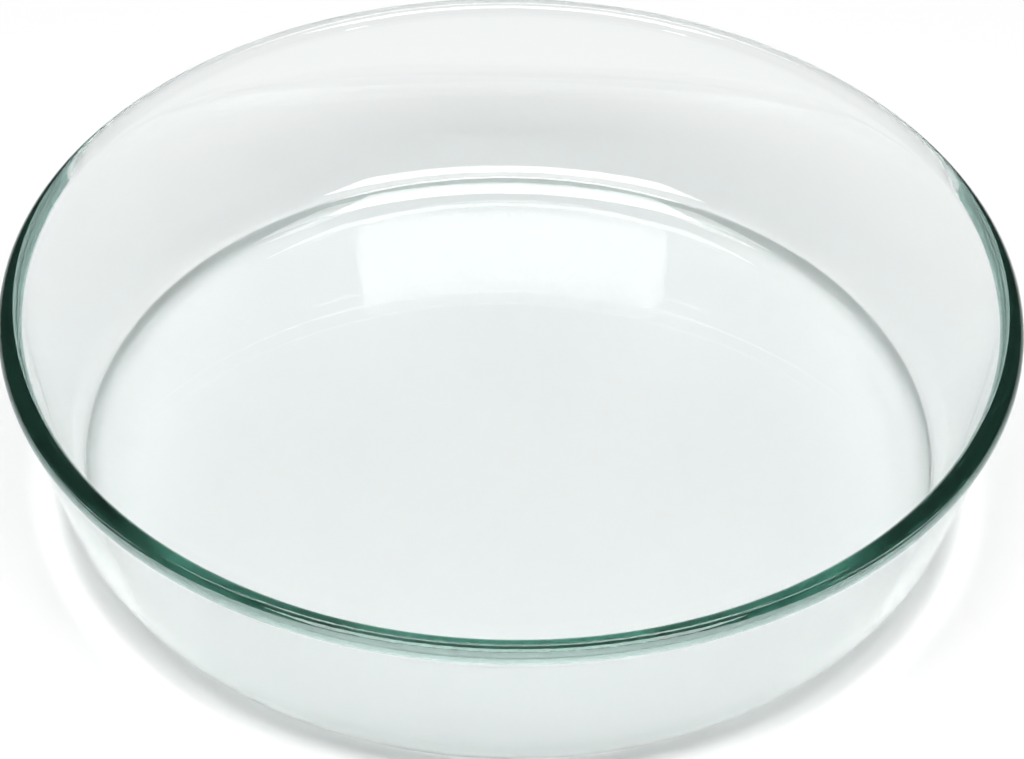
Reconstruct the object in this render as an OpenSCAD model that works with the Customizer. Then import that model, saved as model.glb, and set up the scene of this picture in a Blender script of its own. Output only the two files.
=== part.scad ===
// Evaporating dish: one round, flat-bottomed dish of heavy pressed clear glass, with a round bead along its rim.
// Units are millimetres. +Z is up, and the origin is on the axis, at the surface that the dish stands on.
// The dish is one piece of glass, a body of revolution that is swept from one cross-section.

/* [Overall] */
// Diameter across the rim, at its widest
rim_d = 260; // [120:1:320]
// Height from the standing surface to the top of the rim
height = 58.5; // [45:0.5:80]

/* [Wall] */
// Lean of the outside wall from the vertical, in degrees
wall_lean = 14.5; // [6:0.5:20]
// Thickness of the glass in the wall, square to it
wall_t = 5.7; // [4:0.1:7]

/* [Rim bead] */
// How far the round bead along the rim stands proud of the outside of the wall
bead_proud = 0.6; // [0.4:0.1:1.8]
// Radius of the hollow that blends the underside of the bead into the wall
neck_r = 2; // [1:0.1:3]

/* [Base] */
// Thickness of the glass in the floor
floor_t = 5.2; // [3.5:0.1:8]
// Radius of the outside corner between the base and the wall
outer_corner_r = 20; // [12:0.5:24]
// Radius of the sweep that the inside of the floor makes towards the wall
sweep_r = 21; // [18:0.5:30]
// How far in from the wall the sweep leaves the flat floor
sweep_w = 9.2; // [7:0.1:10.5]
// Radius of the tight inside corner between the sweep and the wall
inner_corner_r = 1.5; // [1:0.1:3]

/* [Look] */
// Colour of the glass
glass_tint = "PaleTurquoise"; // [PaleTurquoise, LightCyan, Honeydew]
// Opacity of the glass in the preview
glass_alpha = 0.45; // [0.2:0.05:1]

/* [Hidden] */

// Facets of a full turn in the preview, and the angle that one step of a round takes
turn_fn = 180;
arc_step = 6;

// The bead is most of a full round, with its top at the dish's height, and flush with the inside of the wall
bead_r = (wall_t + bead_proud) / 2;
bead_c = [rim_d / 2 - bead_r, height - bead_r];

// Lines of the outside and the inside of the wall, as distances outside of the bead's centre
outer_off = bead_r - bead_proud;
inner_off = -bead_r;

// Radius at the level z of a line along the wall that passes off mm outside of the bead's centre
function along_wall(off, z) = bead_c[0] + off / cos(wall_lean) + (z - bead_c[1]) * tan(wall_lean);

// The outside corner's round stands on the level of the base, and the inside sweep on that of the floor
outer_c = [along_wall(outer_off - outer_corner_r, outer_corner_r), outer_corner_r];
sweep_c = [along_wall(inner_off, floor_t) - sweep_w, floor_t + sweep_r];

// The tight inside corner is tangent to the wall and to the sweep, and meets the sweep at the angle meet
corner_gap = sweep_r - inner_corner_r;
corner_run = sweep_w * cos(wall_lean) + sweep_r * sin(wall_lean) - inner_corner_r;
meet = asin(corner_run / corner_gap) - wall_lean - 90;
inner_c = sweep_c + corner_gap * [cos(meet), sin(meet)];

// Neck: the hollow under the bead, tangent to the bead and to the outside of the wall
under = -wall_lean - acos((outer_off + neck_r) / (bead_r + neck_r));
neck_c = bead_c + (bead_r + neck_r) * [cos(under), sin(under)];

// Points along a round from angle a0 to angle a1; first is 1 where it carries on from the point before
function arc(c, r, a0, a1, first = 0) =
    let (n = ceil(abs(a1 - a0) / arc_step))
    [for (i = [first : n]) c + r * [cos(a0 + (a1 - a0) * i / n), sin(a0 + (a1 - a0) * i / n)]];

// The cross-section, once round the glass: base, outside wall, neck, bead, inside wall, floor
section = concat(
    [[0, 0]],
    arc(outer_c, outer_corner_r, -90, -wall_lean),
    arc(neck_c, neck_r, 180 - wall_lean, 180 + under),
    arc(bead_c, bead_r, under, 0, 1),
    arc(bead_c, bead_r, 0, 90, 1),
    arc(bead_c, bead_r, 90, 180 - wall_lean, 1),
    arc(inner_c, inner_corner_r, -wall_lean, meet),
    arc(sweep_c, sweep_r, meet, -90, 1),
    [[0, floor_t]]
);

// The dish, pressed in one piece
module dish() {
    color(glass_tint, glass_alpha)
        rotate_extrude($fn = turn_fn)
            polygon(section);
}

dish();
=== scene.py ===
import math

import bpy
from mathutils import Matrix, Vector, noise


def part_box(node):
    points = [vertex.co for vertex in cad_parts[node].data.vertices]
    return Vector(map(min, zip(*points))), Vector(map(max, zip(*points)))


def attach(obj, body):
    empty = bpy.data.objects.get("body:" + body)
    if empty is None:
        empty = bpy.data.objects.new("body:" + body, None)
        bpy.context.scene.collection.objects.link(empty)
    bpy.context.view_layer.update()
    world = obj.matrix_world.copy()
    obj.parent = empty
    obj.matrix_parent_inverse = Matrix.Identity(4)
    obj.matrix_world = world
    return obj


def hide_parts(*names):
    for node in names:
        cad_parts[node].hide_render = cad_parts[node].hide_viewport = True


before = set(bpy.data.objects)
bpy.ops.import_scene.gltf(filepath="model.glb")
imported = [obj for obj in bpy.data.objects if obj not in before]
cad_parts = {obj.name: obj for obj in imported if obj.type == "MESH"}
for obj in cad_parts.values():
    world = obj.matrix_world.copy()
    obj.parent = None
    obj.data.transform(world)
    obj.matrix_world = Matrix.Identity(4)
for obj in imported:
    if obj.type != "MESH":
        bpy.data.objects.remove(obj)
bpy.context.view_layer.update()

# ---- The dish's cross-section, in metres, as the CAD part has it -------------------------------
LOW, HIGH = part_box("dish")
RIM_RADIUS = HIGH.x
HEIGHT = HIGH.z
WALL_LEAN = math.radians(14.5)
WALL_T = 0.0057
BEAD_PROUD = 0.0006
BEAD_R = (WALL_T + BEAD_PROUD) / 2
NECK_R = 0.0020
FLOOR_T = 0.0052
OUTER_CORNER_R = 0.020
INNER_CORNER_R = 0.0015
SWEEP_R = 0.021
SWEEP_W = 0.0092
BEAD_CENTRE = (RIM_RADIUS - BEAD_R, HEIGHT - BEAD_R)

# ---- How finely the glass is meshed, and how far its surface wanders over what span --------------
AROUND = 384
ARC_STEP = math.radians(3)
ARC_LEAST_STEPS = 2
STRAIGHT_STEP = 0.0025
WANDER = 0.00002
WANDER_SPAN = 0.030

# ---- Glass ---------------------------------------------------------------------------------------
GLASS_IOR = 1.474
GLASS_TINT = (0.93, 0.935, 0.935, 1)
GLASS_ABSORB = (0.0, 0.42, 0.32, 1)
GLASS_DENSITY = 8.5
WHITE = (1, 1, 1, 1)

# ---- Light: each panel is (azimuth from the back, elevation, distance, width, depth, radiance) ---
# Past 90 degrees of elevation a panel hangs over the front of the dish.
PANELS = {
    "key_panel": (0, 112, 2.0, 2.2, 0.84, 10.0),
    "back_panel": (0, 70, 2.0, 1.0, 0.42, 5.0),
}
ROOM_LIGHT = 0.05

# ---- Table: white, and glowing by itself in a round pool that fades out towards GLOW_REACH --------
TABLE_ALBEDO = 0.7
TABLE_SIZE = 6.0
TABLE_DROP = 0.00005
TABLE_GLOW = 0.15
GLOW_REACH = 1.2
GLOW_FULL_FROM = 0.6

# ---- Camera: distance in rim radii, angles in degrees, focal length in frame widths --------------
CAM_DISTANCE = 6.2835
CAM_ELEVATION = 39.696
CAM_PITCH = -1.515
CAM_YAW = -0.033
CAM_ROLL = -0.879
CAM_FOCAL = 3.125
CAM_AIM_DROP = 0.0034
CAM_NEAR = 0.01
SENSOR = 36.0

# ---- Light that passes the glass again and again --------------------------------------------------
LIGHT_BOUNCES = 64
BOUNCED_LIGHT_LIMIT = 10.0


def along_wall(offset, z):
    """Radius at level z of the line along the wall that passes offset outside of the bead's centre."""
    return BEAD_CENTRE[0] + offset / math.cos(WALL_LEAN) + (z - BEAD_CENTRE[1]) * math.tan(WALL_LEAN)


def corner_centre(offset, radius, z):
    """Centre of a corner round that touches such a line and stands on level z."""
    return (along_wall(offset - radius, z + radius), z + radius)


def arc(centre, radius, start, end):
    """Points along a round from one angle to another, both ends included."""
    steps = max(ARC_LEAST_STEPS, math.ceil(abs(end - start) / ARC_STEP))
    angles = [start + (end - start) * i / steps for i in range(steps + 1)]
    return [(centre[0] + radius * math.cos(a), centre[1] + radius * math.sin(a)) for a in angles]


def cross_section():
    """The outline once round the glass, from the axis underneath to the axis inside."""
    down, side = -math.pi / 2, -WALL_LEAN
    outside = BEAD_R - BEAD_PROUD
    inside = -BEAD_R
    reach = BEAD_R + NECK_R
    under = side - math.acos((outside + NECK_R) / reach)
    neck = (BEAD_CENTRE[0] + reach * math.cos(under), BEAD_CENTRE[1] + reach * math.sin(under))
    outer = corner_centre(outside, OUTER_CORNER_R, 0.0)
    sweep = (along_wall(inside, FLOOR_T) - SWEEP_W, FLOOR_T + SWEEP_R)
    gap = SWEEP_R - INNER_CORNER_R
    run = SWEEP_W * math.cos(WALL_LEAN) + SWEEP_R * math.sin(WALL_LEAN) - INNER_CORNER_R
    rise = math.asin(run / gap) - WALL_LEAN + down
    corner = (sweep[0] + gap * math.cos(rise), sweep[1] + gap * math.sin(rise))
    corners = [(0.0, 0.0)]
    corners += arc(outer, OUTER_CORNER_R, down, side)
    corners += arc(neck, NECK_R, math.pi + side, math.pi + under)[:-1]
    corners += arc(BEAD_CENTRE, BEAD_R, under, math.pi + side)
    corners += arc(corner, INNER_CORNER_R, side, rise)
    corners += arc(sweep, SWEEP_R, rise, down)[1:]
    corners += [(0.0, FLOOR_T)]
    points = [corners[0]]
    for a, b in zip(corners, corners[1:]):
        steps = max(1, round(math.dist(a, b) / STRAIGHT_STEP))
        points += [(a[0] + (b[0] - a[0]) * i / steps, a[1] + (b[1] - a[1]) * i / steps)
                   for i in range(1, steps + 1)]
    return points


def lathe(name, section):
    """A closed body of revolution, with each end of the section on the axis."""
    verts, rings = [], []
    turns = [2 * math.pi * k / AROUND for k in range(AROUND)]
    for r, z in section:
        if r == 0:
            rings.append([len(verts)] * AROUND)
            verts.append((0, 0, z))
        else:
            rings.append([len(verts) + k for k in range(AROUND)])
            verts += [(r * math.cos(t), r * math.sin(t), z) for t in turns]
    faces = []
    for low, high in zip(rings, rings[1:]):
        for k in range(AROUND):
            n = (k + 1) % AROUND
            ring = [low[k], low[n], high[n], high[k]]
            faces.append([v for i, v in enumerate(ring) if v not in ring[:i]])
    mesh = bpy.data.meshes.new(name)
    mesh.from_pydata(verts, [], faces)
    mesh.validate()
    mesh.update()
    wander(mesh)
    piece = bpy.data.objects.new(name, mesh)
    bpy.context.scene.collection.objects.link(piece)
    return piece


def wander(mesh):
    """Lets the surface wander a little, apart from the flat underside that stands on the table."""
    outward = [vert.normal.copy() for vert in mesh.vertices]
    for vert, normal in zip(mesh.vertices, outward):
        if vert.co.z > 0:
            vert.co += normal * WANDER * noise.noise(vert.co / WANDER_SPAN)
    mesh.update()


def glass_material():
    """Clear pressed glass: a smooth shell, with the faint green of its thickness in the volume."""
    mat = bpy.data.materials.new("pressed_glass")
    mat.use_nodes = True
    nodes, links = mat.node_tree.nodes, mat.node_tree.links
    shell = nodes["Principled BSDF"]
    shell.inputs["Base Color"].default_value = GLASS_TINT
    shell.inputs["Transmission Weight"].default_value = 1.0
    shell.inputs["Roughness"].default_value = 0.0
    shell.inputs["IOR"].default_value = GLASS_IOR
    inside = nodes.new("ShaderNodeVolumeAbsorption")
    inside.inputs["Color"].default_value = GLASS_ABSORB
    inside.inputs["Density"].default_value = GLASS_DENSITY
    links.new(inside.outputs["Volume"], nodes["Material Output"].inputs["Volume"])
    return mat


def make_dish():
    """The one piece of glass, which stands for the CAD node of the same shape."""
    dish = lathe("dish_glass", cross_section())
    for face in dish.data.polygons:
        face.use_smooth = True
    dish.data.materials.append(glass_material())
    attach(dish, "root")
    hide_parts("dish")


def table_material():
    """Dull white, with a glow that is full in the middle of the table and fades out smoothly."""
    mat = bpy.data.materials.new("table_paper")
    mat.use_nodes = True
    nodes, links = mat.node_tree.nodes, mat.node_tree.links
    paper = nodes["Principled BSDF"]
    paper.inputs["Base Color"].default_value = (TABLE_ALBEDO, TABLE_ALBEDO, TABLE_ALBEDO, 1)
    paper.inputs["Roughness"].default_value = 1.0
    paper.inputs["Specular IOR Level"].default_value = 0.0
    paper.inputs["Emission Color"].default_value = WHITE
    place = nodes.new("ShaderNodeTexCoord")
    scale = nodes.new("ShaderNodeMapping")
    scale.inputs["Scale"].default_value = (1 / GLOW_REACH, 1 / GLOW_REACH, 1)
    pool = nodes.new("ShaderNodeTexGradient")
    pool.gradient_type = "SPHERICAL"
    fade = nodes.new("ShaderNodeMapRange")
    fade.interpolation_type = "SMOOTHSTEP"
    fade.inputs["From Max"].default_value = GLOW_FULL_FROM
    fade.inputs["To Max"].default_value = TABLE_GLOW
    links.new(place.outputs["Object"], scale.inputs["Vector"])
    links.new(scale.outputs["Vector"], pool.inputs["Vector"])
    links.new(pool.outputs["Fac"], fade.inputs["Value"])
    links.new(fade.outputs["Result"], paper.inputs["Emission Strength"])
    return mat


def make_table():
    """The table, a hair below the dish so that glass and table never share a surface."""
    bpy.ops.mesh.primitive_plane_add(size=TABLE_SIZE, location=(0, 0, LOW.z - TABLE_DROP))
    table = bpy.context.object
    table.name = "table"
    table.data.materials.append(table_material())


def make_lights():
    """The panels, each facing the dish's foot, and an even dim light from the room."""
    for name, (azimuth, elevation, distance, width, depth, radiance) in PANELS.items():
        turn, lift = math.radians(azimuth), math.radians(elevation)
        away = Vector((math.sin(turn) * math.cos(lift), math.cos(turn) * math.cos(lift), math.sin(lift)))
        data = bpy.data.lights.new(name, "AREA")
        data.shape = "RECTANGLE"
        data.size, data.size_y = width, depth
        data.energy = radiance * math.pi * width * depth
        lamp = bpy.data.objects.new(name, data)
        lamp.visible_camera = False
        lamp.location = away * distance
        lamp.rotation_euler = away.to_track_quat("Z", "Y").to_euler()
        bpy.context.scene.collection.objects.link(lamp)
    world = bpy.data.worlds.new("room")
    world.use_nodes = True
    world.node_tree.nodes["Background"].inputs["Strength"].default_value = ROOM_LIGHT
    world.node_tree.nodes["Background"].inputs["Color"].default_value = WHITE
    bpy.context.scene.world = world


def make_camera():
    """The main view, from over the front of the dish, turned a little off its aim at the rim."""
    rim_level = Vector((0, 0, HEIGHT - CAM_AIM_DROP))
    lift = math.radians(CAM_ELEVATION)
    away = CAM_DISTANCE * RIM_RADIUS
    spot = rim_level + away * Vector((0, -math.cos(lift), math.sin(lift)))
    right = Vector((1, 0, 0))
    look = (rim_level - spot).normalized()
    up = right.cross(look)
    pitch = Matrix.Rotation(math.radians(CAM_PITCH), 3, right)
    look, up = pitch @ look, pitch @ up
    yaw = Matrix.Rotation(math.radians(CAM_YAW), 3, up)
    look, right = yaw @ look, yaw @ right
    roll = Matrix.Rotation(math.radians(CAM_ROLL), 3, look)
    up, right = roll @ up, roll @ right
    data = bpy.data.cameras.new("main_view")
    data.sensor_width = SENSOR
    data.lens = CAM_FOCAL * SENSOR
    data.clip_start = CAM_NEAR
    camera = bpy.data.objects.new("main_view", data)
    camera.matrix_world = Matrix.Translation(spot) @ Matrix((right, up, -look)).transposed().to_4x4()
    bpy.context.scene.collection.objects.link(camera)
    bpy.context.scene.camera = camera


def set_scene():
    """Enough bounces for light to get through the glass, and plain colours."""
    scene = bpy.context.scene
    scene.view_settings.view_transform = "Standard"
    scene.cycles.max_bounces = LIGHT_BOUNCES
    scene.cycles.transmission_bounces = LIGHT_BOUNCES
    scene.cycles.glossy_bounces = LIGHT_BOUNCES
    scene.cycles.caustics_reflective = True
    scene.cycles.caustics_refractive = True
    scene.cycles.sample_clamp_indirect = BOUNCED_LIGHT_LIMIT
    scene.cycles.blur_glossy = 0.0
    scene.cycles.use_denoising = True


make_dish()
make_table()
make_lights()
make_camera()
set_scene()
